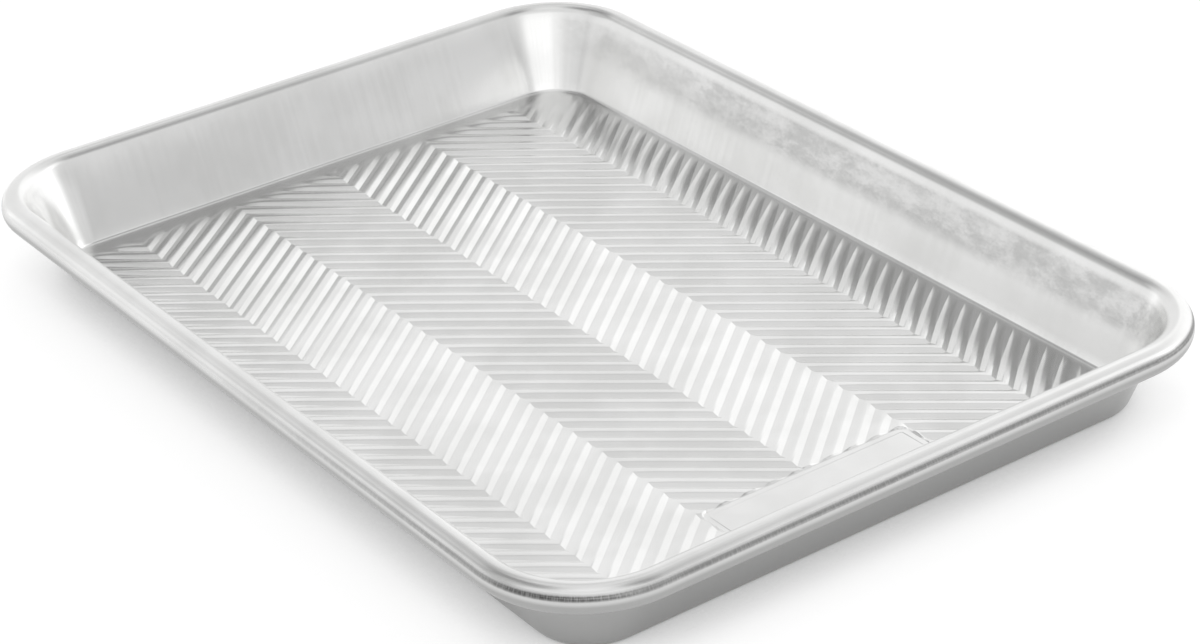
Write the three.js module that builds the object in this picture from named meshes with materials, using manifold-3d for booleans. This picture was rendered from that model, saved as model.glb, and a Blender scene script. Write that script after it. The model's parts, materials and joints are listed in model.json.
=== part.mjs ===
// Quarter-size sheet pan: one aluminium sheet pressed into a shallow tray with a chevron-ribbed floor,
// its rim rolled outward and under round a steel wire.
// Millimetres, +Z up, X along the long side, origin on the table under the middle of the floor.
import * as THREE from 'three';
import { mergeVertices } from 'three/addons/utils/BufferGeometryUtils.js';
import Module from 'manifold-3d';

// Overall form
const PAN_LENGTH = 330;
const PAN_WIDTH = 241;
const PAN_HEIGHT = 29;
const RIM_CORNER_RADIUS = 35; // at the rim's outer edge
const FOOT_INSET = 18; // from the rim's outer edge in to the foot of the wall's outside
const FOOT_BEND_RADIUS = 3; // inside the pan, where floor turns into wall
const SHEET = 1.2;

// Rolled rim and its wire
const BEAD_DIAMETER = 8.6;
const CURL_SLOT = 0.5; // between the curl's cut edge and the wall
const WIRE_CLEARANCE = 0.3;
const WIRE_BUTT_GAP = 2;

// Ribs: parallel zigzags that run across the floor and turn at every band
const BAND_WIDTH = 37.5;
const RIB_PITCH = 7.25; // along the pan
const RIB_SLANT = 32; // how far a rib moves along the pan while it crosses one band
const RIB_OFFSET = 1.7; // from the pan's middle to the nearest valley on the middle line
const RIB_HEIGHT = 0.6;
const RIB_CREST_WIDTH = 1.6; // along the pan
const RIB_LIFT = 0.05; // of the valleys over the plain floor

// Plain floor round the ribs, and the slopes on which they run out
const END_LAND = 3;
const SIDE_LAND = 0.5;
const END_RUNOUT = 9;
const SIDE_RUNOUT = 1.5;

// Bare plate, a plain field left in the ribs near one short end
const PLATE_WIDTH = 73; // across the pan
const PLATE_DEPTH = 13.5; // along the pan
const PLATE_SETBACK = 45; // from the rim's outer edge to the plate's middle

// Facets
const CORNER_STEPS = 8;
const CURL_STEPS = 5; // to each quarter turn
const BEND_STEPS = 4;
const WIRE_SIDES = 10;

const wasm = await Module();
wasm.setup();

// Rim section, in (inset, z): inset counts inward from the rim's outer edge.
// The wall's outside leaves the foot and meets the inside of the curl at a tangent.
const beadRadius = BEAD_DIAMETER / 2;
const curlRadius = beadRadius - SHEET;
const beadCentre = new THREE.Vector2(beadRadius, PAN_HEIGHT - beadRadius);
const footToBead = new THREE.Vector2(FOOT_INSET, 0).sub(beadCentre);
const wallLean = Math.acos(curlRadius / footToBead.length()) - Math.atan2(-footToBead.y, footToBead.x);
const curlEnd = wallLean + 2 * Math.PI - Math.acos((curlRadius - CURL_SLOT) / beadRadius);
const bendHeight = SHEET + FOOT_BEND_RADIUS;
const bendReach = beadRadius + FOOT_BEND_RADIUS + (beadCentre.y - bendHeight) * Math.sin(wallLean);
const bendCentre = new THREE.Vector2(beadCentre.x + bendReach / Math.cos(wallLean), bendHeight);
const floorInset = bendCentre.x;

// Points on an arc, both ends included.
function arc(centre, radius, from, to, steps) {
  return Array.from({ length: steps + 1 }, (_, i) => {
    const angle = from + ((to - from) * i) / steps;
    return new THREE.Vector2(centre.x + radius * Math.cos(angle), centre.y + radius * Math.sin(angle));
  });
}

// Closed outline of a rounded rectangle at one height, anticlockwise from above.
function roundedOutline(halfLength, halfWidth, radius, z) {
  const signs = [[1, 1], [-1, 1], [-1, -1], [1, -1]];
  return signs.flatMap(([sx, sy], i) => {
    const centre = new THREE.Vector2(sx * (halfLength - radius), sy * (halfWidth - radius));
    const corner = arc(centre, radius, (i * Math.PI) / 2, ((i + 1) * Math.PI) / 2, CORNER_STEPS);
    return corner.map((p) => new THREE.Vector3(p.x, p.y, z));
  });
}

// The rim's outline drawn in by a section point's inset.
function outlineAt({ x: inset, y: z }) {
  return roundedOutline(PAN_LENGTH / 2 - inset, PAN_WIDTH / 2 - inset, RIM_CORNER_RADIUS - inset, z);
}

// Triangles that close a flat ring, turned the way the ring runs.
function capFaces(ring, [u, v]) {
  const contour = ring.map((p) => new THREE.Vector2(p[u], p[v]));
  const forward = THREE.ShapeUtils.area(contour) > 0;
  return THREE.ShapeUtils.triangulateShape(contour, []).map(([a, b, c]) => {
    const positive = THREE.ShapeUtils.area([contour[a], contour[b], contour[c]]) > 0;
    return positive === forward ? [a, b, c] : [a, c, b];
  });
}

// Solid skinned over a stack of rings that run anticlockwise as seen from the stack's far end.
function loft(rings, capAxes) {
  const count = rings[0].length;
  const last = (rings.length - 1) * count;
  const faces = [];
  for (let r = 0; r + 1 < rings.length; r += 1) {
    for (let i = 0; i < count; i += 1) {
      const a = r * count + i;
      const b = r * count + ((i + 1) % count);
      faces.push([a, b, b + count], [a, b + count, a + count]);
    }
  }
  capFaces(rings[0], capAxes).forEach(([a, b, c]) => faces.push([a, c, b]));
  capFaces(rings.at(-1), capAxes).forEach(([a, b, c]) => faces.push([last + a, last + b, last + c]));
  const geometry = new THREE.BufferGeometry().setFromPoints(rings.flat());
  return geometry.setIndex(faces.flat());
}

function toSolid(geometry) {
  geometry.deleteAttribute('normal').deleteAttribute('uv');
  const merged = mergeVertices(geometry);
  const vertProperties = merged.attributes.position.array;
  const triVerts = new Uint32Array(merged.index.array);
  return new wasm.Manifold(new wasm.Mesh({ numProp: 3, vertProperties, triVerts }));
}

function toGeometry(solid) {
  const { vertProperties, triVerts } = solid.getMesh();
  const geometry = new THREE.BufferGeometry();
  geometry.setAttribute('position', new THREE.BufferAttribute(vertProperties, 3));
  return geometry.setIndex(new THREE.BufferAttribute(triVerts, 1));
}

// The rolled rim at one radius, from the wall over the bead to the cut edge. Stopping at every quarter turn
// keeps the bead's full height and width.
function curl(radius) {
  const stops = [wallLean, Math.PI / 2, Math.PI, 1.5 * Math.PI, curlEnd];
  const turns = stops.slice(1).map((stop, i) => arc(beadCentre, radius, stops[i], stop, CURL_STEPS));
  return turns.flatMap((points, i) => (i === 0 ? points : points.slice(1)));
}

// The pressed tray before ribbing. The section runs along the underside from the floor to the wall and
// round inside the curl, then back over the bead and down the inside of the pan.
function plainTray() {
  const wallSide = wallLean + Math.PI;
  const floorSide = 1.5 * Math.PI;
  const section = [
    ...arc(bendCentre, FOOT_BEND_RADIUS + SHEET, floorSide, wallSide, BEND_STEPS),
    ...curl(curlRadius),
    ...curl(beadRadius).reverse(),
    ...arc(bendCentre, FOOT_BEND_RADIUS, wallSide, floorSide, BEND_STEPS),
  ];
  return loft(section.map(outlineAt), ['x', 'y']);
}

// Ribs over the whole floor and beyond: one sawtooth section, carried from band to band on a zigzag.
function chevronField() {
  const root = SHEET / 4;
  const valley = SHEET + RIB_LIFT;
  const crest = valley + RIB_HEIGHT;
  const bands = Math.ceil(PAN_WIDTH / 2 / BAND_WIDTH);
  const teeth = Math.ceil((PAN_LENGTH / 2 + RIB_SLANT) / RIB_PITCH);
  const section = [];
  for (let tooth = -teeth; tooth <= teeth; tooth += 1) {
    const start = RIB_OFFSET + tooth * RIB_PITCH;
    section.push([start, valley]);
    section.push([start + (RIB_PITCH - RIB_CREST_WIDTH) / 2, crest]);
    section.push([start + (RIB_PITCH + RIB_CREST_WIDTH) / 2, crest]);
  }
  section.push([RIB_OFFSET + (teeth + 1) * RIB_PITCH, root], [RIB_OFFSET - teeth * RIB_PITCH, root]);
  const rings = [];
  for (let row = -bands; row <= bands; row += 1) {
    const shift = row % 2 === 0 ? 0 : -RIB_SLANT;
    rings.push(section.map(([x, z]) => new THREE.Vector3(x + shift, row * BAND_WIDTH, z)));
  }
  return loft(rings, ['x', 'z']);
}

// The part of the floor that carries ribs, with sloped edges on which they run out to the plain floor.
// The slope starts a little inside the sheet and ends a little over the crests.
function ribbedPanel() {
  const ring = (z) => {
    const climb = (z - SHEET) / (RIB_LIFT + RIB_HEIGHT);
    const side = floorInset + SIDE_LAND + climb * SIDE_RUNOUT;
    const end = floorInset + END_LAND + climb * END_RUNOUT;
    return roundedOutline(PAN_LENGTH / 2 - end, PAN_WIDTH / 2 - side, RIM_CORNER_RADIUS - side, z);
  };
  return loft([ring(SHEET - RIB_LIFT), ring(SHEET + RIB_HEIGHT + 2 * RIB_LIFT)], ['x', 'y']);
}

// Block that keeps the bare plate clear of ribs.
function plateBlock() {
  const block = new THREE.BoxGeometry(PLATE_DEPTH, PLATE_WIDTH, 2 * (SHEET + RIB_LIFT + RIB_HEIGHT));
  block.translate(PAN_LENGTH / 2 - PLATE_SETBACK, 0, SHEET);
  return block;
}

// The sheet keeps its thickness under the ribs: what they add on top is taken away underneath.
function pressedPan() {
  const ribs = toSolid(chevronField()).intersect(toSolid(ribbedPanel())).subtract(toSolid(plateBlock()));
  return toGeometry(toSolid(plainTray()).add(ribs).subtract(ribs.translate([0, 0, -SHEET])));
}

// Round wire lying in the curl, open at the butt in the middle of the short side away from the plate.
function rimWire() {
  const section = arc(beadCentre, curlRadius - WIRE_CLEARANCE, 0, 2 * Math.PI, WIRE_SIDES).slice(0, -1);
  const strands = section.map((point) => {
    const outline = outlineAt(point);
    const half = outline.length / 2;
    const start = new THREE.Vector3(point.x - PAN_LENGTH / 2, -WIRE_BUTT_GAP / 2, point.y);
    const end = start.clone().setY(WIRE_BUTT_GAP / 2);
    return [start, ...outline.slice(half), ...outline.slice(0, half), end];
  });
  const stations = strands[0].map((_, i) => strands.map((strand) => strand[i]));
  return loft(stations, ['x', 'z']);
}

const aluminium = new THREE.MeshStandardMaterial({ color: 0xd3d5d6, roughness: 0.36, metalness: 1 });
const steel = new THREE.MeshStandardMaterial({ color: 0x8f9396, roughness: 0.5, metalness: 1 });

function piece(name, geometry, material) {
  geometry.computeVertexNormals();
  const mesh = new THREE.Mesh(geometry, material);
  mesh.name = name;
  return mesh;
}

const sheetPan = new THREE.Group();
sheetPan.name = 'sheet_pan';
sheetPan.add(piece('pressed_pan', pressedPan(), aluminium));
sheetPan.add(piece('rim_wire', rimWire(), steel));

export default sheetPan;
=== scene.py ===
"""Looks of a quarter-size sheet pan: pressed sheet, chevron ribs, rolled rim, satin aluminium, plain studio.

Metres, +Z up, X along the pan's long side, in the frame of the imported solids.
"""

from __future__ import annotations

import json
import logging
import math
from dataclasses import asdict, astuple, dataclass, field
from enum import Enum
from typing import Iterable, Optional, Union

import bpy
import numpy as np
from mathutils import Matrix, Vector, geometry

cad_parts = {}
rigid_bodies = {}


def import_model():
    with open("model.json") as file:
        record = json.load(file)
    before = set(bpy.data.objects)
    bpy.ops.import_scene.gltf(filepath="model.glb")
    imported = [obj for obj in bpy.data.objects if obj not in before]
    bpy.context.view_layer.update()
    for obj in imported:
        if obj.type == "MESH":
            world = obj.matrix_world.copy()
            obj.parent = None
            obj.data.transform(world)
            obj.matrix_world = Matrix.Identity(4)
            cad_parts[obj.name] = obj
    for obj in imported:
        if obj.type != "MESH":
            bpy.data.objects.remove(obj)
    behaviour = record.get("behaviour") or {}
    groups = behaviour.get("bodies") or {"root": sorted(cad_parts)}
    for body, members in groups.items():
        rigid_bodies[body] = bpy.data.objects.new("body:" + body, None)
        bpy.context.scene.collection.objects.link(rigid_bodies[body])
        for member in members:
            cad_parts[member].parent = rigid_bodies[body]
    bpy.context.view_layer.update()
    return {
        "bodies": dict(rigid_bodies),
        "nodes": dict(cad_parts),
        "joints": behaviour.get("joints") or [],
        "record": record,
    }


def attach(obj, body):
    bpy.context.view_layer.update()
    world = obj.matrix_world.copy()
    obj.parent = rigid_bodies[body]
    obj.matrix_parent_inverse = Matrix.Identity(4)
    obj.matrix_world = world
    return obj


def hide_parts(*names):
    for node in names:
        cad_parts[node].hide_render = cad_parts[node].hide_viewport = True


log = logging.getLogger("sheet_pan")

PHOTO_SIZE = (1200, 644)
MM = 0.001
HALF_TURN = 180.0
CORNERS = ((1, 1), (-1, 1), (-1, -1), (1, -1))  # of a rectangle, anticlockwise from above
INSIDE_FACES = 1  # the triangulation keeps the faces inside the outermost loop
RAMP_INPUTS = ("Value", "From Min", "From Max", "To Min", "To Max")

Point = tuple[float, float]
Place = tuple[float, float, float]
Colour = tuple[float, float, float, float]
Value = Union[bpy.types.NodeSocket, bpy.types.Material, float, str, tuple[float, ...]]


class SheetMark(Enum):
    """What the sheet's mesh carries for its ribs and its finish."""

    RUN = "sheet_run"
    FADE = "rib_fade"
    CREST = "rib_crest"
    WALL = "wall"
    BEAD = "bead"
    GATHER = "corner_gather"
    # The dark line along the bead: painted dark reflection, speckled by abrasion.
    RUB = "rim_rub"
    # Darker outer bead, outer walls and underside: painted shade, for the shaded floor that they reflect.
    HANDLED = "rim_handled"


POINT_MARKS = tuple(mark for mark in SheetMark if mark not in (SheetMark.RUN, SheetMark.CREST))


class Skin(Enum):
    """The floor's two faces."""

    UPPER = "upper"
    UNDER = "under"


@dataclass(frozen=True)
class Ramp:
    """A smooth change of a value, held beyond its two limits."""

    low: float
    high: float
    to_low: float = 0.0
    to_high: float = 1.0


class NodeBuilder:
    """Small helper that adds and links nodes in one tree."""

    def __init__(self, tree: bpy.types.NodeTree) -> None:
        """Starts on a tree."""
        self.tree = tree

    def add(self, kind: str, inputs: Optional[dict[str, Value]] = None, **settings: object) -> bpy.types.Node:
        """Adds one node.

        Args:
            kind: the node's type name.
            inputs: what its inputs receive, by name.
            settings: properties to set on the node.

        Returns:
            The new node.
        """
        node = self.tree.nodes.new(kind)
        for name, value in settings.items():
            setattr(node, name, value)
        for name, value in (inputs or {}).items():
            self.put(node.inputs[name], value)
        return node

    def put(self, socket: bpy.types.NodeSocket, value: Value) -> None:
        """Links a socket to another node's output, or sets its default value.

        Args:
            socket: the input socket.
            value: an output socket, or what the input holds.
        """
        if isinstance(value, bpy.types.NodeSocket):
            self.tree.links.new(value, socket)
        else:
            socket.default_value = value

    def math(self, operation: str, *values: Value) -> bpy.types.NodeSocket:
        """Adds a math node.

        Args:
            operation: the node's operation.
            values: its inputs, sockets or numbers.

        Returns:
            The node's output socket.
        """
        node = self.add("ShaderNodeMath", operation=operation)
        for socket, value in zip(node.inputs, values):
            self.put(socket, value)
        return node.outputs[0]

    def chain(self, operation: str, *values: Value) -> Value:
        """Carries one operation through several values in turn.

        Args:
            operation: the math nodes' operation.
            values: sockets or numbers.

        Returns:
            The last node's output socket.
        """
        result = values[0]
        for value in values[1:]:
            result = self.math(operation, result, value)
        return result

    def total(self, *values: Value) -> Value:
        """Adds several values."""
        return self.chain("ADD", *values)

    def product(self, *values: Value) -> Value:
        """Multiplies several values."""
        return self.chain("MULTIPLY", *values)

    def less(self, value: Value, taken: Value) -> bpy.types.NodeSocket:
        """Takes one value from another."""
        return self.math("SUBTRACT", value, taken)

    def swing(self, value: Value, amount: float) -> Value:
        """Centres a value of 0 to 1 on zero and scales it to a whole swing."""
        return self.product(self.less(value, 0.5), amount)

    def ramp(self, value: Value, ramp: Ramp) -> bpy.types.NodeSocket:
        """Takes a value through a ramp."""
        inputs = dict(zip(RAMP_INPUTS, (value, *astuple(ramp))))
        return self.add("ShaderNodeMapRange", inputs, interpolation_type="SMOOTHSTEP").outputs[0]

    def attribute(self, mark: SheetMark) -> bpy.types.NodeSocket:
        """Reads a number that the mesh carries."""
        return self.add("ShaderNodeAttribute", attribute_name=mark.value).outputs["Fac"]

    def mix(self, factor: Value, low: Value, high: Value) -> bpy.types.NodeSocket:
        """Mixes two colours, low where the factor is 0 and high where it is 1."""
        inputs = {"Factor": factor, "A": low, "B": high}
        return self.add("ShaderNodeMix", inputs, data_type="RGBA").outputs["Result"]


@dataclass(frozen=True)
class Pattern:
    """One noise pattern of a finish: its cells to a metre, even or stretched, its octaves and their share."""

    scale: float = 1.0
    stretch: Optional[Place] = None
    detail: float = 2.0
    roughness: float = 0.5

    def build(self, nodes: NodeBuilder, where: bpy.types.NodeSocket) -> bpy.types.NodeSocket:
        """Adds the pattern.

        Args:
            nodes: the material's node builder.
            where: the coordinates' socket.

        Returns:
            The pattern's value, from 0 to 1.
        """
        if self.stretch:
            where = nodes.add("ShaderNodeMapping", {"Vector": where, "Scale": self.stretch}).outputs[0]
        inputs = {"Vector": where, "Scale": self.scale, "Detail": self.detail, "Roughness": self.roughness}
        return nodes.add("ShaderNodeTexNoise", inputs).outputs["Fac"]


def new_material(name: str) -> tuple[bpy.types.Material, NodeBuilder, bpy.types.Node]:
    """Makes a material with a Principled shader.

    Args:
        name: the material's name.

    Returns:
        The material, a node builder on its tree, and the Principled node.
    """
    material = bpy.data.materials.new(name)
    material.use_nodes = True
    builder = NodeBuilder(material.node_tree)
    return material, builder, material.node_tree.nodes["Principled BSDF"]


def held(share: float) -> float:
    """Holds a share between 0 and 1."""
    return min(max(share, 0.0), 1.0)


def rounded_depth(dx: float, dy: float, radius: float) -> float:
    """How deep a point lies in a rounded rectangle, from its distances past a corner's centre."""
    return radius - math.hypot(max(dx, 0.0), max(dy, 0.0)) - min(max(dx, dy), 0.0)


@dataclass(frozen=True)
class SatinAluminium:
    """Pressed aluminium sheet: satin grain, streaked and smeared walls, a dark line on the bead that is
    painted dark reflection with abrasion, and painted shade on the outside.
    """

    clean: Colour = (0.915, 0.915, 0.910, 1.0)
    dull: Colour = (0.850, 0.850, 0.843, 1.0)
    smeared: Colour = (0.590, 0.590, 0.585, 1.0)
    # Painted shade: the outer bead, outer walls and underside made darker, for the shaded floor that they
    # reflect.
    touched: Colour = (0.410, 0.410, 0.406, 1.0)
    # Painted dark reflection along the bead, speckled by abrasion.
    rubbed: Colour = (0.075, 0.074, 0.073, 1.0)

    grain: Pattern = Pattern(scale=2300.0, detail=1.0)
    clouds: Pattern = Pattern(scale=34.0, detail=3.0, roughness=0.55)
    smears: Pattern = Pattern(stretch=(70.0, 120.0, 1.0), detail=7.0, roughness=0.74)
    streaks: Pattern = Pattern(stretch=(420.0, 9.0, 1.0))
    lines: Pattern = Pattern(stretch=(26.0, 2400.0, 1.0), roughness=0.55)
    strokes: Pattern = Pattern(stretch=(2100.0, 420.0, 1.0), detail=3.0, roughness=0.6)

    cloud_cover: Ramp = Ramp(0.36, 0.66)
    streak_tone: float = 0.35
    smear_rise: Ramp = Ramp(11.5 * MM, 16.5 * MM)  # by height
    smear_fall: Ramp = Ramp(24.2 * MM, 26.2 * MM, 1.0, 0.0)
    smear_sides: Ramp = Ramp(98.0 * MM, 106.0 * MM)  # by distance from the pan's middle line
    smear_along: Ramp = Ramp(-150.0 * MM, -30.0 * MM, 0.35, 1.0)
    smear_patches: Ramp = Ramp(0.36, 0.64, 0.36, 1.0)
    grip: Ramp = Ramp(-60.0 * MM, 140.0 * MM, 0.08, 0.72)  # strength of the bead's dark line along the pan: painted dark reflection and abrasion
    gather_wear: float = 0.28  # more of it in the corners
    stroke_marks: Ramp = Ramp(0.34, 0.60, 0.78, 1.0)
    line_marks: Ramp = Ramp(0.30, 0.56, 0.80, 1.0)

    floor_roughness: float = 0.25
    wall_roughness: float = 0.19
    bead_roughness: float = 0.25
    crest_polish: float = 0.03
    smear_roughness: float = 0.05
    handled_roughness: float = 0.06
    scuff_roughness: float = 0.10
    cloud_roughness: float = 0.05
    streak_roughness: float = 0.08
    line_roughness: float = 0.06
    least_roughness: float = 0.08

    grain_height: float = 0.0009 * MM
    streak_height: float = 0.0020 * MM
    stroke_height: float = 0.0014 * MM

    def build(self) -> bpy.types.Material:
        """Builds the finish's material.

        Returns:
            The material.
        """
        material, nodes, shader = new_material("satin_aluminium")
        place = nodes.add("ShaderNodeTexCoord").outputs["Object"]
        run = nodes.add("ShaderNodeUVMap", uv_map=SheetMark.RUN.value).outputs["UV"]
        wall, bead, gather, rub_and_reflection, outside_shade = (nodes.attribute(mark) for mark in POINT_MARKS[1:])
        crest = nodes.attribute(SheetMark.CREST)
        along, across, height = nodes.add("ShaderNodeSeparateXYZ", {"Vector": place}).outputs
        grain, clouds = (pattern.build(nodes, place) for pattern in (self.grain, self.clouds))
        on_run = (self.smears, self.streaks, self.lines, self.strokes)
        smears, streaks, lines, strokes = (pattern.build(nodes, run) for pattern in on_run)

        smear = nodes.product(
            wall,
            nodes.ramp(height, self.smear_rise),
            nodes.ramp(height, self.smear_fall),
            nodes.ramp(nodes.math("ABSOLUTE", across), self.smear_sides),
            nodes.ramp(along, self.smear_along),
            nodes.ramp(smears, self.smear_patches),
        )
        # The bead's dark line: painted dark reflection, speckled by abrasion strokes and lines, stronger
        # along +X and in the corners.
        wear_and_painted_dark = nodes.total(nodes.product(gather, self.gather_wear), nodes.ramp(along, self.grip))
        rub_and_reflection_worn = nodes.product(rub_and_reflection, wear_and_painted_dark)
        scuff_and_reflection = nodes.product(
            rub_and_reflection_worn, nodes.ramp(strokes, self.stroke_marks), nodes.ramp(lines, self.line_marks)
        )
        drawn = nodes.product(nodes.swing(streaks, self.streak_tone), wall)
        cover = nodes.ramp(nodes.total(clouds, drawn), self.cloud_cover)
        tone = nodes.mix(cover, self.clean, self.dull)
        tone = nodes.mix(smear, tone, self.smeared)
        # Painted shade on the outer bead, outer walls and underside.
        tone = nodes.mix(outside_shade, tone, self.touched)
        # The painted dark reflection along the bead.
        nodes.put(shader.inputs["Base Color"], nodes.mix(scuff_and_reflection, tone, self.rubbed))

        rough = nodes.total(
            nodes.product(bead, self.bead_roughness - self.floor_roughness),
            nodes.product(wall, self.wall_roughness - self.floor_roughness),
            nodes.product(crest, -self.crest_polish),
            nodes.product(smear, self.smear_roughness),
            nodes.product(outside_shade, self.handled_roughness),
            nodes.product(scuff_and_reflection, self.scuff_roughness),
            nodes.swing(clouds, self.cloud_roughness),
            nodes.product(nodes.swing(streaks, self.streak_roughness), wall),
            nodes.product(nodes.swing(lines, self.line_roughness), bead),
            self.floor_roughness,
        )
        nodes.put(shader.inputs["Roughness"], nodes.math("MAXIMUM", rough, self.least_roughness))

        relief = nodes.total(
            nodes.product(grain, self.grain_height / MM),
            nodes.product(streaks, wall, self.streak_height / MM),
            nodes.product(strokes, rub_and_reflection_worn, self.stroke_height / MM),
        )
        bump = nodes.add("ShaderNodeBump", {"Strength": 1.0, "Distance": MM, "Height": relief})
        nodes.put(shader.inputs["Normal"], bump.outputs[0])
        shader.inputs["Metallic"].default_value = 1.0
        return material


@dataclass(frozen=True)
class DrawnSteel:
    """Plain drawn steel wire with a mottled, dull grey skin."""

    light: Colour = (0.46, 0.47, 0.48, 1.0)
    dark: Colour = (0.36, 0.37, 0.38, 1.0)
    mottle: Pattern = Pattern(scale=420.0, detail=4.0, roughness=0.6)
    roughness: Ramp = Ramp(0.2, 0.8, 0.34, 0.52)

    def build(self) -> bpy.types.Material:
        """Builds the finish's material.

        Returns:
            The material.
        """
        material, nodes, shader = new_material("drawn_steel")
        where = nodes.add("ShaderNodeTexCoord").outputs["Object"]
        mottle = self.mottle.build(nodes, where)
        nodes.put(shader.inputs["Base Color"], nodes.mix(mottle, self.dark, self.light))
        nodes.put(shader.inputs["Roughness"], nodes.ramp(mottle, self.roughness))
        shader.inputs["Metallic"].default_value = 1.0
        return material


@dataclass(frozen=True)
class PaleFloor:
    """White studio floor that shows itself white; its diffuse part takes the pan's real shadow, and its glow
    takes painted shade from ambient occlusion.
    """

    albedo: float = 0.45
    glow: Ramp = Ramp(-0.12, 0.56, 0.0, 0.73)  # by how open the floor is, so that the glow carries painted shade near the pan
    shade_reach: float = 30.0 * MM
    shade_samples: int = 8

    def build(self) -> bpy.types.Material:
        """Builds the floor's material.

        Returns:
            The material.
        """
        material, nodes, shader = new_material("pale_floor")
        nodes.tree.nodes.remove(shader)
        paper = nodes.add("ShaderNodeBsdfDiffuse", {"Color": (self.albedo, self.albedo, self.albedo, 1.0)})
        path = nodes.add("ShaderNodeLightPath").outputs
        seen = nodes.chain(
            "MAXIMUM", path["Is Camera Ray"], path["Is Glossy Ray"], path["Is Transmission Ray"]
        )
        reach = {"Distance": self.shade_reach}
        shade = nodes.add("ShaderNodeAmbientOcclusion", reach, samples=self.shade_samples)
        # The glow dims where the floor is occluded: painted shade near the pan.
        glow = nodes.product(seen, nodes.ramp(shade.outputs["AO"], self.glow))
        light = nodes.add("ShaderNodeEmission", {"Strength": glow})
        both = nodes.add("ShaderNodeAddShader")
        nodes.put(both.inputs[0], paper.outputs[0])
        nodes.put(both.inputs[1], light.outputs[0])
        nodes.put(nodes.tree.nodes["Material Output"].inputs["Surface"], both.outputs[0])
        return material


@dataclass(frozen=True)
class RimSection:
    """Section of the sheet through rim, wall and foot, in (inset, z) from the rim's outer edge."""

    length: float = 330.0 * MM
    width: float = 241.0 * MM
    height: float = 29.0 * MM
    corner_radius: float = 35.0 * MM
    foot_inset: float = 18.0 * MM
    bend_radius: float = 1.5 * MM
    sheet: float = 1.2 * MM
    bead_diameter: float = 8.6 * MM
    curl_slot: float = 0.5 * MM
    foot_lean: float = math.radians(22.2)  # out of the upright, where the wall leaves the foot
    brim_lean: float = math.radians(27.5)  # where it meets the bead

    @property
    def bead_radius(self) -> float:
        """Outside radius of the rolled bead."""
        return self.bead_diameter / 2

    @property
    def curl_radius(self) -> float:
        """Inside radius of the rolled bead."""
        return self.bead_radius - self.sheet

    @property
    def bead_centre(self) -> Point:
        """Middle of the bead."""
        return self.bead_radius, self.height - self.bead_radius

    @property
    def lean(self) -> float:
        """Angle by which the wall as a whole leans out of the upright."""
        reach, drop = self.foot_inset - self.bead_centre[0], self.bead_centre[1]
        return math.acos(self.curl_radius / math.hypot(reach, drop)) - math.atan2(drop, reach)

    @property
    def curl_end(self) -> float:
        """Angle at which the curl's cut edge stops short of the wall."""
        turn = math.acos((self.curl_radius - self.curl_slot) / self.bead_radius)
        return self.lean + 2 * math.pi - turn

    @property
    def bend_centre(self) -> Point:
        """Centre of the bend between floor and wall.

        Returns:
            The centre.
        """
        rise = self.sheet + self.bend_radius
        climb = (self.bead_centre[1] - rise) * math.sin(self.lean)
        reach = self.bead_radius + self.bend_radius + climb
        return self.bead_centre[0] + reach / math.cos(self.lean), rise

    def arc(self, centre: Point, radius: float, start: float, end: float, steps: int) -> list[Point]:
        """Points on an arc of the section, both ends included."""
        angles = np.linspace(start, end, steps + 1)
        return [(centre[0] + radius * math.cos(a), centre[1] + radius * math.sin(a)) for a in angles]

    def curl(self, radius: float, steps: int) -> list[Point]:
        """The rolled rim at one radius, from the wall over the bead to the cut edge.

        Args:
            radius: the radius about the bead's middle.
            steps: how many chords each quarter turn has.

        Returns:
            The points, with one on every quarter turn.
        """
        stops = [self.brim_lean, math.pi / 2, math.pi, 1.5 * math.pi, self.curl_end]
        points = [self.arc(self.bead_centre, radius, a, b, steps) for a, b in zip(stops, stops[1:])]
        return points[0] + [p for turn in points[1:] for p in turn[1:]]

    def bend(self, radius: float, steps: int) -> list[Point]:
        """The bend at one radius about its centre, from the flat floor up to the wall."""
        return self.arc(self.bend_centre, radius, 1.5 * math.pi, self.lean + math.pi, steps)

    def wall(self, foot: Point, brim: Point, steps: int) -> list[Point]:
        """One face of the wall, slightly hollow, so that it flares into the bead.

        Args:
            foot: the face's lower end.
            brim: its upper end.
            steps: how many chords it has.

        Returns:
            The points from foot to brim, without the brim.
        """
        reach = math.dist(foot, brim)
        leans = (self.foot_lean, self.brim_lean)
        rise, flare = (np.multiply(reach, (-math.sin(a), math.cos(a))) for a in leans)
        span = np.subtract(brim, foot)
        points: list[Point] = []
        for t in np.linspace(0.0, 1.0, steps + 1)[:-1]:
            straight = foot + span * (3 - 2 * t) * t * t
            points.append(tuple(straight + rise * t * (1 - t) ** 2 - flare * t * t * (1 - t)))
        return points

    def inset(self, x: float, y: float) -> float:
        """How far a point of the plan lies inside the rim's outer edge."""
        radius = self.corner_radius
        return rounded_depth(abs(x) - self.length / 2 + radius, abs(y) - self.width / 2 + radius, radius)

    def bend_height(self, inset: float, radius: float) -> float:
        """Height of the floor or of the bend's skin over a point of the plan.

        Args:
            inset: the point's distance inside the rim's outer edge.
            radius: the skin's radius about the bend's centre.

        Returns:
            The height.
        """
        centre, rise = self.bend_centre
        out = min(max(centre - inset, 0.0), radius)
        return rise - math.sqrt(radius * radius - out * out)


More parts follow.
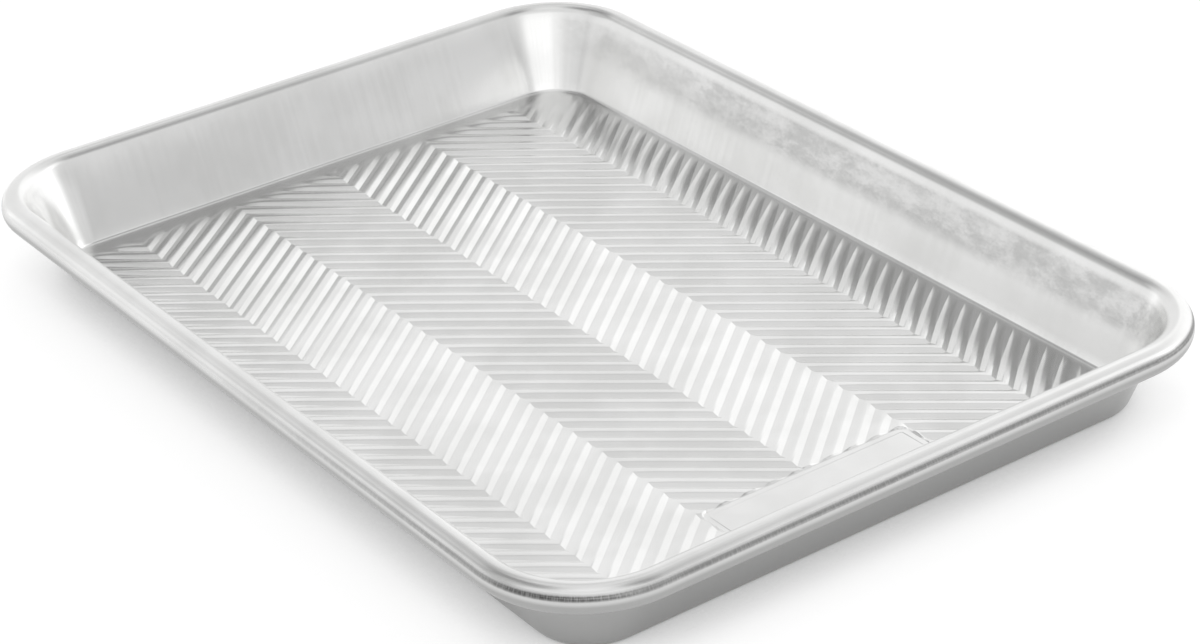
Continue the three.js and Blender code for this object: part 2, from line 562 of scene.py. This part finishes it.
@dataclass(frozen=True)
class ChevronRibs:
    """Parallel zigzag ribs that cross the floor and turn at every band, as a relief on the sheet."""

    band_width: float = 37.5 * MM
    pitch: float = 7.25 * MM
    slant: float = 32.0 * MM
    offset: float = 1.7 * MM
    relief: float = 0.56 * MM
    flank: float = 0.54  # shares of half the pitch
    shoulder: float = 0.28
    taper_from: float = 83.0 * MM  # across the pan, where the ribs start to sink
    taper_over: float = 101.0 * MM
    taper_depth: float = 0.66

    def lines(self, shoulder_steps: int) -> list[float]:
        """Places of the mesh lines that follow one rib.

        Args:
            shoulder_steps: how many strips each shoulder has; with none, one line stands for it.

        Returns:
            Shares of the pitch, the valley first.
        """
        top = self.flank + self.shoulder
        climbs = [(self.flank + top) / 2]
        if shoulder_steps:
            climbs = np.linspace(self.flank, top, shoulder_steps + 1)
        left = [climb / 2 for climb in climbs]
        return [0.0, *left, 0.5, *(1.0 - share for share in left)]

    def shift(self, y: float) -> float:
        """How far the zigzag has moved along the pan at one place across it."""
        turn = abs(y) / self.band_width % 2.0
        return -self.slant * (turn if turn <= 1.0 else 2.0 - turn)

    def edge_shift(self, y: float) -> float:
        """How far along the pan a sinking rib's foot has drawn in from its valley."""
        sunk = self.taper_depth * held((abs(y) - self.taper_from) / (self.taper_over - self.taper_from))
        return sunk * (self.flank + self.shoulder / 2) / 2 * self.pitch

    def inputs(self) -> dict[str, float]:
        """The sizes by the names of the tree's inputs, Band Width for band_width and so on."""
        return {name.replace("_", " ").title(): size for name, size in asdict(self).items()}

    def form(self, nodes: NodeBuilder, sizes: bpy.types.NodeOutputs) -> bpy.types.NodeSocket:
        """Adds the ribs' form: straight flanks, round shoulders, flat crests, sinking by the long walls.

        Args:
            nodes: the tree's node builder.
            sizes: the tree's named inputs.

        Returns:
            The share of the full relief, from 0 to 1.
        """
        place = nodes.add("GeometryNodeInputPosition").outputs[0]
        along, across, _ = nodes.add("ShaderNodeSeparateXYZ", {"Vector": place}).outputs
        turns = nodes.math("DIVIDE", across, sizes["Band Width"])
        zigzag = nodes.product(nodes.math("PINGPONG", turns, 1.0), sizes["Slant"])
        run = nodes.less(nodes.total(along, zigzag), sizes["Offset"])
        teeth = nodes.product(nodes.math("DIVIDE", run, sizes["Pitch"]), 2.0)
        climb = nodes.math("PINGPONG", teeth, 1.0)
        over = nodes.math("MAXIMUM", nodes.less(climb, sizes["Flank"]), 0.0)
        turned = nodes.math("MINIMUM", over, sizes["Shoulder"])
        level = nodes.less(over, turned)
        rounding = nodes.math("DIVIDE", nodes.product(turned, turned), nodes.product(sizes["Shoulder"], 2.0))
        slope = nodes.less(nodes.less(climb, rounding), level)
        whole = nodes.total(nodes.product(sizes["Shoulder"], 0.5), sizes["Flank"])
        aside = nodes.less(nodes.math("ABSOLUTE", across), sizes["Taper From"])
        span = nodes.less(sizes["Taper Over"], sizes["Taper From"])
        share = nodes.math("MINIMUM", nodes.math("MAXIMUM", nodes.math("DIVIDE", aside, span), 0.0), 1.0)
        sunk = nodes.product(share, sizes["Taper Depth"])
        return nodes.math("MAXIMUM", nodes.less(nodes.math("DIVIDE", slope, whole), sunk), 0.0)

    def build_tree(self, material: bpy.types.Material) -> bpy.types.NodeTree:
        """Builds the node tree that raises the ribs where the fade attribute lets them.

        Args:
            material: the finish that the tree sets.

        Returns:
            The tree.
        """
        tree = bpy.data.node_groups.new("chevron_ribs", "GeometryNodeTree")
        face = tree.interface
        face.new_socket("Sheet", in_out="INPUT", socket_type="NodeSocketGeometry")
        for name, value in self.inputs().items():
            face.new_socket(name, in_out="INPUT", socket_type="NodeSocketFloat").default_value = value
        face.new_socket("Sheet", in_out="OUTPUT", socket_type="NodeSocketGeometry")
        nodes = NodeBuilder(tree)
        sizes = nodes.add("NodeGroupInput").outputs
        carried = {"Name": SheetMark.FADE.value}
        fade = nodes.add("GeometryNodeInputNamedAttribute", carried, data_type="FLOAT")
        raised = nodes.product(self.form(nodes, sizes), fade.outputs["Attribute"])
        crest = {"Geometry": sizes["Sheet"], "Name": SheetMark.CREST.value, "Value": raised}
        mark = nodes.add("GeometryNodeStoreNamedAttribute", crest, data_type="FLOAT", domain="POINT")
        lift = nodes.add("ShaderNodeCombineXYZ", {"Z": nodes.product(raised, sizes["Relief"])})
        moved = {"Geometry": mark.outputs[0], "Offset": lift.outputs[0]}
        press = nodes.add("GeometryNodeSetPosition", moved)
        real = nodes.add("GeometryNodeRealizeInstances", {"Geometry": press.outputs[0]})
        dressed = {"Geometry": real.outputs[0], "Material": material}
        dress = nodes.add("GeometryNodeSetMaterial", dressed)
        nodes.put(nodes.add("NodeGroupOutput").inputs[0], dress.outputs[0])
        return tree

    def press(self, sheet: bpy.types.Object, material: bpy.types.Material) -> None:
        """Presses the ribs into a flat-floored sheet and keeps the result as its plain mesh.

        Args:
            sheet: the object to press.
            material: its finish.
        """
        tree = self.build_tree(material)
        modifier = sheet.modifiers.new("chevron_ribs", "NODES")
        modifier.node_group = tree
        sizes = self.inputs()
        for item in tree.interface.items_tree:
            if item.in_out == "INPUT" and item.name in sizes:
                modifier[item.identifier] = sizes[item.name]
        bpy.context.view_layer.update()
        pressed = sheet.evaluated_get(bpy.context.evaluated_depsgraph_get())
        mesh = bpy.data.meshes.new_from_object(pressed)
        sheet.modifiers.remove(modifier)
        flat = sheet.data
        sheet.data = mesh
        bpy.data.meshes.remove(flat)


@dataclass(frozen=True)
class BarePlate:
    """Plain field left in the ribs near one short end, with a fine raised outline."""

    centre: float = 120.0 * MM
    depth: float = 13.5 * MM
    width: float = 73.0 * MM
    corner: float = 2.5 * MM
    least_corner: float = 0.3 * MM
    corner_steps: int = 6
    edge: float = 0.7 * MM
    outline_inset: float = 1.7 * MM
    outline_width: float = 0.55 * MM
    outline_height: float = 0.10 * MM

    def inside(self, x: float, y: float) -> float:
        """How far a point of the plan lies inside the field's edge, negative outside."""
        dx = abs(x - self.centre) - self.depth / 2 + self.corner
        return rounded_depth(dx, abs(y) - self.width / 2 + self.corner, self.corner)

    def loop(self, inset: float) -> list[Point]:
        """A closed loop at one distance inside the field's edge.

        Args:
            inset: the distance, negative outside.

        Returns:
            The loop's points.
        """
        radius = max(self.corner - inset, self.least_corner)
        half_x = self.depth / 2 - inset - radius
        half_y = self.width / 2 - inset - radius
        points: list[Point] = []
        for i, (sx, sy) in enumerate(CORNERS):
            for step in range(self.corner_steps + 1):
                a = (i + step / self.corner_steps) * math.pi / 2
                x = self.centre + sx * half_x + radius * math.cos(a)
                points.append((x, sy * half_y + radius * math.sin(a)))
        return points

    def outline_rise(self, x: float, y: float) -> float:
        """Height of the raised outline over a point."""
        off = abs(self.inside(x, y) - self.outline_inset) / (self.outline_width / 2)
        return self.outline_height * held(2.0 * (1.0 - off))


@dataclass
class FloorSkin:
    """One face of the floor, meshed so that its edges follow the ribs, the bends and the plate."""

    section: RimSection
    ribs: ChevronRibs
    plate: BarePlate
    side: Skin
    skin_radius: float
    teeth: list[float]
    step: float = 5.0 * MM
    end_land: float = 4.0 * MM
    end_runout: float = 6.5 * MM
    side_reach: float = 21.0 * MM
    side_runout: float = 1.6 * MM
    side_margin: float = 0.2 * MM
    plate_margin: float = 0.15 * MM
    plate_reach: float = 1.5 * MM
    overrun: float = 2.0 * MM  # of the rib lines past the bend
    side_cuts: int = 9  # of the step, along the long walls, round the plate and on the run-outs
    plate_cuts: int = 12
    runout_cuts: int = 4
    short_step: float = 0.3  # a share of the step, under which two points are one
    halvings: int = 24
    merge: float = 1e-4 * MM
    coords: list[Point] = field(default_factory=list)
    links: list[tuple[int, int]] = field(default_factory=list)

    def fade(self, x: float, y: float) -> float:
        """Share of the full relief at a point of the plan.

        Args:
            x: along the pan.
            y: across the pan.

        Returns:
            The share, from 0 to 1.
        """
        flat = self.section.bend_centre[0]
        end = self.section.length / 2 - flat - self.end_land - abs(x)
        side = self.section.inset(x, y) - self.side_reach
        plate = -self.plate.inside(x, y)
        shares = (end / self.end_runout, side / self.side_runout, plate / self.plate.edge)
        return math.prod(self.soft(share) for share in shares)

    @staticmethod
    def soft(share: float) -> float:
        """Smooth step of a share between 0 and 1."""
        kept = held(share)
        return kept * kept * (3.0 - 2.0 * kept)

    def spacing(self, x: float, y: float) -> float:
        """Wanted distance between points along a rib.

        Args:
            x: along the pan.
            y: across the pan.

        Returns:
            The distance.
        """
        if self.section.inset(x, y) < self.side_reach + 2 * self.side_runout:
            return self.step / self.side_cuts
        if abs(self.plate.inside(x, y)) < self.plate_reach:
            return self.step / self.plate_cuts
        return self.step / self.runout_cuts if self.fade(x, y) < 1.0 else self.step

    def carries_ribs(self, x: float, y: float) -> bool:
        """Whether rib lines are meshed at a point of the plan."""
        on_floor = self.section.inset(x, y) > self.side_reach - self.side_margin
        return on_floor and self.plate.inside(x, y) < -self.plate_margin

    def add_chain(self, points: Iterable[Point], closed: bool) -> None:
        """Adds points joined by edges.

        Args:
            points: the points in order.
            closed: whether the last joins the first.
        """
        first = len(self.coords)
        self.coords.extend(points)
        last = len(self.coords) - 1
        self.links.extend((i, i + 1) for i in range(first, last))
        if closed:
            self.links.append((last, first))

    def trace_rib(self, start: float, side: int = 0) -> None:
        """Adds one rib line, cut where the ribs stop.

        Args:
            start: where the line crosses the pan's middle.
            side: with 1 or -1, the line is the foot of the sinking rib on that side of its valley.
        """
        limit = self.section.width / 2 - self.section.bend_centre[0] + self.overrun
        bands = int(math.ceil(limit / self.ribs.band_width))
        rows = [k * self.ribs.band_width for k in range(-bands, bands + 1)]
        chain: list[Point] = []

        def place(y: float) -> Point:
            """The line's point at one y."""
            return start + self.ribs.shift(y) + side * self.ribs.edge_shift(y), y

        def carried(y: float) -> bool:
            """Whether the line is meshed at one y."""
            return self.carries_ribs(*place(y)) and (side == 0 or abs(y) > self.ribs.taper_from)

        def crossing(inner: float, outer: float) -> Point:
            """The line's last point before it stops.

            Args:
                inner: a y where it is meshed.
                outer: a y where it isn't.

            Returns:
                The point.
            """
            for _ in range(self.halvings):
                mid = (inner + outer) / 2
                inner, outer = (mid, outer) if carried(mid) else (inner, mid)
            return place(inner)

        y = rows[0]
        inside = carried(y)
        for row in rows[1:]:
            while y < row:
                after = min(y + self.spacing(*place(y)), row)
                after = row if row - after < self.short_step * self.spacing(*place(after)) else after
                now_inside = carried(after)
                if now_inside and not inside:
                    chain = [crossing(after, y)]
                if inside and not now_inside:
                    chain.append(crossing(y, after))
                    self.add_chain(chain, closed=False)
                if now_inside:
                    chain.append(place(after))
                y, inside = after, now_inside
        if inside and len(chain) > 1:
            self.add_chain(chain, closed=False)

    def mesh(self, rings: list[list[Point]]) -> tuple[list[Point], list[tuple[int, ...]], list[int]]:
        """Triangulates the skin, in millimetres for the sake of its tolerance.

        Args:
            rings: closed outlines of the bend, the outermost last.

        Returns:
            The plan's points, its triangles, and the indices of the outermost ring's points.
        """
        self.coords.clear()
        self.links.clear()
        for ring in rings:
            self.add_chain(ring, closed=True)
        rim = range(len(self.coords) - len(rings[-1]), len(self.coords))
        edge, middle, half = self.plate.edge, self.plate.outline_inset, self.plate.outline_width / 2
        insets = [0.0, edge / 2, -edge / 2, -edge]
        insets += [middle + part for part in (-half, -half / 2, half / 2, half)]
        for inset in insets:
            self.add_chain(self.plate.loop(inset), closed=True)
        reach = int(math.ceil((self.section.length / 2 + self.ribs.slant) / self.ribs.pitch))
        for tooth in range(-reach, reach + 1):
            for share in self.teeth:
                self.trace_rib(self.ribs.offset + (tooth + share) * self.ribs.pitch)
            for side in (-1, 1):
                self.trace_rib(self.ribs.offset + tooth * self.ribs.pitch, side)
        scale = 1.0 / MM
        flat = [Vector((x * scale, y * scale)) for x, y in self.coords]
        verts, _, faces, sources, _, _ = geometry.delaunay_2d_cdt(
            flat, self.links, [], INSIDE_FACES, self.merge * scale, True
        )
        found = {source: i for i, origin in enumerate(sources) for source in origin}
        plan = [(v.x * MM, v.y * MM) for v in verts]
        return plan, [tuple(face) for face in faces], [found[i] for i in rim]

    def height(self, x: float, y: float) -> float:
        """Height of the skin over a point of the plan, before ribbing."""
        bend = self.section.bend_height(self.section.inset(x, y), self.skin_radius)
        return bend + self.plate.outline_rise(x, y)

    def marks(self, x: float, y: float) -> tuple[float, ...]:
        """What the skin carries at a point of the plan, in the order of POINT_MARKS."""
        # The underside carries the full painted shade of the outside.
        return self.fade(x, y), 0.0, 0.0, 0.0, 0.0, float(self.side is Skin.UNDER)


class SheetMesh:
    """Mesh under construction, with the marks and runs that its finish reads."""

    def __init__(self) -> None:
        """Starts empty."""
        self.points: list[Place] = []
        self.marks: list[tuple[float, ...]] = []
        self.faces: list[list[int]] = []
        self.runs: list[Point] = []

    def add_point(self, place: Place, marks: tuple[float, ...]) -> int:
        """Adds one point.

        Args:
            place: where it is.
            marks: what it carries, in the order of POINT_MARKS.

        Returns:
            The point's index.
        """
        self.points.append(place)
        self.marks.append(marks)
        return len(self.points) - 1

    def add_face(self, points: list[int], runs: list[Point]) -> None:
        """Adds one face, anticlockwise from outside, with each corner's lengths along the sheet."""
        self.faces.append(points)
        self.runs.extend(runs)

    def build(self, name: str) -> bpy.types.Object:
        """Makes the object.

        Args:
            name: the object's name.

        Returns:
            The object, linked to the scene.
        """
        mesh = bpy.data.meshes.new(name)
        mesh.from_pydata(self.points, [], self.faces)
        for i, mark in enumerate(POINT_MARKS):
            values = mesh.attributes.new(mark.value, "FLOAT", "POINT")
            values.data.foreach_set("value", [marks[i] for marks in self.marks])
        runs = mesh.uv_layers.new(name=SheetMark.RUN.value)
        runs.data.foreach_set("uv", [value for run in self.runs for value in run])
        made = bpy.data.objects.new(name, mesh)
        bpy.context.scene.collection.objects.link(made)
        return made


@dataclass(frozen=True)
class Station:
    """One station round the rim: the centre that its sections turn about, its direction and its run."""

    x: float
    y: float
    cos: float
    sin: float
    run: float
    gather: float


@dataclass
class PressedPan:
    """The pressed sheet: ribbed floor, sloped walls and rolled rim in one piece."""

    section: RimSection = field(default_factory=RimSection)
    ribs: ChevronRibs = field(default_factory=ChevronRibs)
    plate: BarePlate = field(default_factory=BarePlate)
    finish: SatinAluminium = field(default_factory=SatinAluminium)
    corner_steps: int = 20
    straight_step: float = 6.5 * MM
    bead_steps: int = 14
    curl_steps: int = 8
    wall_steps: int = 10
    bend_steps: int = 8
    shoulder_steps: int = 2
    under_step: float = 9.0 * MM
    sharp_angle: float = math.radians(13.0)
    # The bead's dark line: painted dark reflection and abrasion.
    rub_turn: float = 1.70  # in quarter turns from the wall over the bead
    rub_spread: float = 0.130
    rub_power: int = 4
    # Where the painted shade of the outside begins, in quarter turns.
    handled_from: float = 1.70
    handled_blend: float = 0.36

    @property
    def rim_length(self) -> float:
        """Length of the rim's outer edge."""
        s = self.section
        return 2 * (s.length + s.width - 4 * s.corner_radius) + 2 * math.pi * s.corner_radius

    def columns(self) -> list[Station]:
        """Stations round the rim, anticlockwise from the end of one short side.

        Returns:
            The stations.
        """
        s = self.section
        half_x = s.length / 2 - s.corner_radius
        half_y = s.width / 2 - s.corner_radius
        quarter = math.pi / 2 * s.corner_radius
        stations: list[Station] = []
        run = 0.0
        for i, (sx, sy) in enumerate(CORNERS):
            for step in range(self.corner_steps + 1):
                share = step / self.corner_steps
                angle = (i + share) * math.pi / 2
                turn = math.cos(angle), math.sin(angle)
                gather = math.sin(share * math.pi)
                stations.append(Station(sx * half_x, sy * half_y, *turn, run + share * quarter, gather))
            run += quarter
            nx, ny = CORNERS[(i + 1) % len(CORNERS)]
            span = math.hypot((nx - sx) * half_x, (ny - sy) * half_y)
            pieces = int(round(span / self.straight_step))
            for share in np.linspace(0.0, 1.0, pieces + 1)[1:-1]:
                x = half_x * (sx + (nx - sx) * share)
                y = half_y * (sy + (ny - sy) * share)
                stations.append(Station(x, y, *turn, run + share * span, 0.0))
            run += span
        return stations

    def ring(self, inset: float) -> list[Point]:
        """The outline at one distance inside the rim's outer edge, with one point for each station."""
        radius = self.section.corner_radius - inset
        return [(at.x + radius * at.cos, at.y + radius * at.sin) for at in self.columns()]

    def profile(self) -> list[Point]:
        """Section points from the inside bend's top over the bead and round the curl to the outside bend.

        Returns:
            The points.
        """
        s = self.section
        bead = s.curl(s.bead_radius, self.bead_steps)
        hollow = s.curl(s.curl_radius, self.curl_steps)[::-1]
        inside_top = s.bend(s.bend_radius, self.bend_steps)[-1]
        outside_top = s.bend(s.bend_radius + s.sheet, self.bend_steps)[-1]
        up = s.wall(inside_top, bead[0], self.wall_steps)
        down = s.wall(outside_top, hollow[-1], self.wall_steps)
        return up + bead + hollow + down[::-1]

    @staticmethod
    def lengths(profile: list[Point]) -> list[float]:
        """Length along the section at each of its points."""
        steps = [math.dist(a, b) for a, b in zip(profile, profile[1:])]
        return [0.0, *np.cumsum(steps).tolist()]

    def zones(self, ring: int) -> tuple[float, float, float, float]:
        """How far one ring belongs to each zone of the section.

        Args:
            ring: the ring's place in the section.

        Returns:
            The shares of the wall, the bead, the dark line (painted dark reflection and abrasion) and the
            painted shade of the outside.
        """
        quarters = (ring - self.wall_steps) / self.bead_steps
        outside_shade = held((quarters - self.handled_from) / self.handled_blend)
        if not 0.0 <= quarters <= 4.0:
            return 1.0, 0.0, 0.0, outside_shade
        rub_and_reflection = math.exp(-(((quarters - self.rub_turn) / self.rub_spread) ** self.rub_power))
        return 0.0, 1.0, rub_and_reflection, outside_shade

    def skins(self) -> tuple[FloorSkin, FloorSkin]:
        """The floor's two faces.

        Returns:
            The upper and the lower face.
        """
        s = self.section
        frame = (s, self.ribs, self.plate)
        upper = FloorSkin(*frame, Skin.UPPER, s.bend_radius, self.ribs.lines(self.shoulder_steps))
        under = FloorSkin(*frame, Skin.UNDER, s.bend_radius + s.sheet, self.ribs.lines(0), self.under_step)
        return upper, under

    def add_rim(self, sheet: SheetMesh, profile: list[Point]) -> None:
        """Adds walls, bead and curl.

        Args:
            sheet: the empty mesh that receives them.
            profile: the section's points.
        """
        stations = self.columns()
        count = len(stations)
        lengths = self.lengths(profile)
        for ring, (inset, z) in enumerate(profile):
            wall, bead, *wear_and_painted_dark = self.zones(ring)
            for (x, y), station in zip(self.ring(inset), stations):
                sheet.add_point((x, y, z), (0.0, wall, bead, station.gather, *wear_and_painted_dark))
        runs = [*(station.run for station in stations), self.rim_length]
        for ring in range(len(profile) - 1):
            for i in range(count):
                corners = [(ring + 1, i), (ring + 1, i + 1), (ring, i + 1), (ring, i)]
                points = [r * count + k % count for r, k in corners]
                sheet.add_face(points, [(runs[k], lengths[r]) for r, k in corners])

    def add_floor(self, sheet: SheetMesh, skin: FloorSkin, ring: int) -> None:
        """Adds one face of the floor and joins it to the walls.

        Args:
            sheet: the mesh that receives it.
            skin: the face.
            ring: the ring of the section that it shares.
        """
        insets = [inset for inset, _ in self.section.bend(skin.skin_radius, self.bend_steps)]
        plan, triangles, rim = skin.mesh([self.ring(inset) for inset in insets])
        places = {index: ring * len(rim) + i for i, index in enumerate(rim)}
        for i, (x, y) in enumerate(plan):
            if i not in places:
                places[i] = sheet.add_point((x, y, skin.height(x, y)), skin.marks(x, y))
        for face in triangles:
            ordered = face if skin.side is Skin.UPPER else face[::-1]
            sheet.add_face([places[i] for i in ordered], [plan[i] for i in ordered])

    def build(self) -> bpy.types.Object:
        """Builds the pan's mesh, presses its ribs and dresses it.

        Returns:
            The finished object.
        """
        sheet = SheetMesh()
        profile = self.profile()
        self.add_rim(sheet, profile)
        for skin, ring in zip(self.skins(), (0, len(profile) - 1)):
            self.add_floor(sheet, skin, ring)
        pan = sheet.build("pressed_sheet")
        self.ribs.press(pan, self.finish.build())
        pan.data.shade_smooth()
        pan.data.set_sharp_from_angle(angle=self.sharp_angle)
        return pan


@dataclass(frozen=True)
class RimWire:
    """The steel wire in the rolled rim. Its solid is kept and dressed."""

    node: str = "rim_wire"
    finish: DrawnSteel = field(default_factory=DrawnSteel)

    def dress(self, nodes: dict[str, bpy.types.Object]) -> bpy.types.Object:
        """Gives the wire its finish.

        Args:
            nodes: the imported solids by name.

        Returns:
            The wire.
        """
        wire = nodes[self.node]
        wire.data.materials.clear()
        wire.data.materials.append(self.finish.build())
        return wire


@dataclass(frozen=True)
class PhotoCamera:
    """Camera at the photograph's viewing angle, in degrees."""

    azimuth: float = 55.4556
    elevation: float = 28.7100
    roll: float = -3.0771
    distance: float = 953.285 * MM
    aim_right: float = 9.409 * MM
    aim_up: float = 1.357 * MM
    focal_pixels: float = 3107.12
    sensor_width: float = 36.0  # millimetres
    clip_start: float = 0.01
    clip_end: float = 50.0

    def axes(self) -> tuple[Vector, Vector, Vector]:
        """The camera's directions.

        Returns:
            Right, up and backward.
        """
        a, e, r = (math.radians(v) for v in (self.azimuth, self.elevation, self.roll))
        back = Vector((math.sin(a) * math.cos(e), -math.cos(a) * math.cos(e), math.sin(e)))
        right = Vector((0.0, 0.0, 1.0)).cross(back).normalized()
        up = back.cross(right)
        turned = right * math.cos(r) + up * math.sin(r)
        return turned, back.cross(turned), back

    def build(self) -> bpy.types.Object:
        """Builds the camera and makes it the scene's own.

        Returns:
            The camera object.
        """
        right, up, back = self.axes()
        lens = bpy.data.cameras.new("photo_camera")
        lens.sensor_fit = "HORIZONTAL"
        lens.sensor_width = self.sensor_width
        lens.lens = self.focal_pixels * self.sensor_width / PHOTO_SIZE[0]
        lens.clip_start = self.clip_start
        lens.clip_end = self.clip_end
        camera = bpy.data.objects.new("photo_camera", lens)
        place = right * self.aim_right + up * self.aim_up + back * self.distance
        turn = Matrix((right, up, back)).transposed().to_4x4()
        camera.matrix_world = Matrix.Translation(place) @ turn
        bpy.context.scene.collection.objects.link(camera)
        bpy.context.scene.camera = camera
        return camera


@dataclass(frozen=True)
class SoftPanel:
    """One soft bright area of the studio, in degrees, with its bearing to the right of the camera's view."""

    bearing: float
    width: float
    low: float
    high: float
    level: float
    blur: float = 14.0

    def shine(self, nodes: NodeBuilder, bearing: Value, height: Value) -> bpy.types.NodeSocket:
        """Adds the panel's light.

        Args:
            nodes: the world's node builder.
            bearing: the bearing of the direction looked at.
            height: its height over the horizon.

        Returns:
            The panel's radiance in that direction.
        """
        half = self.blur / 2
        side = self.width / 2
        offset = nodes.less(bearing, self.bearing - HALF_TURN)
        turn = nodes.math("FLOORED_MODULO", offset, 2 * HALF_TURN)
        aside = nodes.math("ABSOLUTE", nodes.less(turn, HALF_TURN))
        across = nodes.ramp(aside, Ramp(side - half, side + half, 1.0, 0.0))
        over = nodes.ramp(height, Ramp(self.low - half, self.low + half))
        under = nodes.ramp(height, Ramp(self.high - half, self.high + half, self.level, 0.0))
        return nodes.product(across, nodes.product(over, under))


@dataclass(frozen=True)
class Studio:
    """White floor and soft light panels round the pan, in a room of even light."""

    view_bearing: float = 145.4556  # degrees from +X to where the camera looks
    floor_half: float = 4.0
    floor_drop: float = 0.1 * MM
    floor: PaleFloor = field(default_factory=PaleFloor)
    room: float = 0.26
    panels: tuple[SoftPanel, ...] = (
        # Beyond the pan: left, right, and the weaker parts over them.
        SoftPanel(bearing=-22.0, width=76.0, low=-20.0, high=42.5, level=0.65),
        SoftPanel(bearing=52.0, width=76.0, low=-20.0, high=40.0, level=0.88, blur=20.0),
        SoftPanel(bearing=52.0, width=72.0, low=40.0, high=58.0, level=0.56, blur=20.0),
        SoftPanel(bearing=44.0, width=48.0, low=56.0, high=76.0, level=0.26, blur=16.0),
        SoftPanel(bearing=2.0, width=32.0, low=42.5, high=53.0, level=0.30, blur=10.0),
        SoftPanel(bearing=-10.0, width=60.0, low=53.0, high=76.0, level=0.53),
        # Left of the pan.
        SoftPanel(bearing=-82.0, width=56.0, low=-20.0, high=27.0, level=0.66),
        SoftPanel(bearing=-92.0, width=44.0, low=27.0, high=60.0, level=0.28, blur=16.0),
        # Right of the pan.
        SoftPanel(bearing=106.0, width=56.0, low=-20.0, high=19.0, level=0.23, blur=16.0),
        SoftPanel(bearing=98.0, width=44.0, low=-20.0, high=17.0, level=0.25, blur=8.0),
        SoftPanel(bearing=102.0, width=56.0, low=19.0, high=51.0, level=0.46),
        # Behind the camera.
        SoftPanel(bearing=165.0, width=62.0, low=8.0, high=44.0, level=0.95, blur=28.0),
        SoftPanel(bearing=222.0, width=52.0, low=8.0, high=44.0, level=0.62, blur=20.0),
        SoftPanel(bearing=188.0, width=132.0, low=46.0, high=78.0, level=0.55, blur=20.0),
        # Overhead.
        SoftPanel(bearing=0.0, width=400.0, low=76.0, high=120.0, level=0.60),
    )

    def build_floor(self) -> bpy.types.Object:
        """Builds the floor.

        Returns:
            The floor object.
        """
        mesh = bpy.data.meshes.new("studio_floor")
        corners = [(x * self.floor_half, y * self.floor_half, -self.floor_drop) for x, y in CORNERS]
        mesh.from_pydata(corners, [], [tuple(range(len(corners)))])
        mesh.materials.append(self.floor.build())
        floor = bpy.data.objects.new("studio_floor", mesh)
        bpy.context.scene.collection.objects.link(floor)
        return floor

    def build_light(self) -> None:
        """Builds the room's light in the world."""
        world = bpy.data.worlds.new("studio")
        world.use_nodes = True
        bpy.context.scene.world = world
        nodes = NodeBuilder(world.node_tree)
        way = nodes.add("ShaderNodeTexCoord").outputs["Generated"]
        x, y, z = nodes.add("ShaderNodeSeparateXYZ", {"Vector": way}).outputs
        height = nodes.math("DEGREES", nodes.math("ARCSINE", z))
        angle = nodes.math("DEGREES", nodes.math("ARCTAN2", y, x))
        bearing = nodes.less(self.view_bearing, angle)
        light = nodes.total(self.room, *(panel.shine(nodes, bearing, height) for panel in self.panels))
        nodes.put(world.node_tree.nodes["Background"].inputs["Color"], light)


def main() -> None:
    """Builds the pan, its studio and its camera in order, and logs the pan's face count and the dressed wire.
    """
    logging.basicConfig(level=logging.INFO, format="%(name)s: %(message)s")
    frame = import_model()
    bpy.context.scene.view_settings.view_transform = "Standard"
    PhotoCamera().build()
    studio = Studio()
    studio.build_floor()
    studio.build_light()
    pan = PressedPan().build()
    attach(pan, "root")
    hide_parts("pressed_pan")
    log.info("%s: %d faces", pan.name, len(pan.data.polygons))
    wire = RimWire().dress(frame["nodes"])
    log.info("%s: dressed", wire.name)


if __name__ == "__main__":
    main()
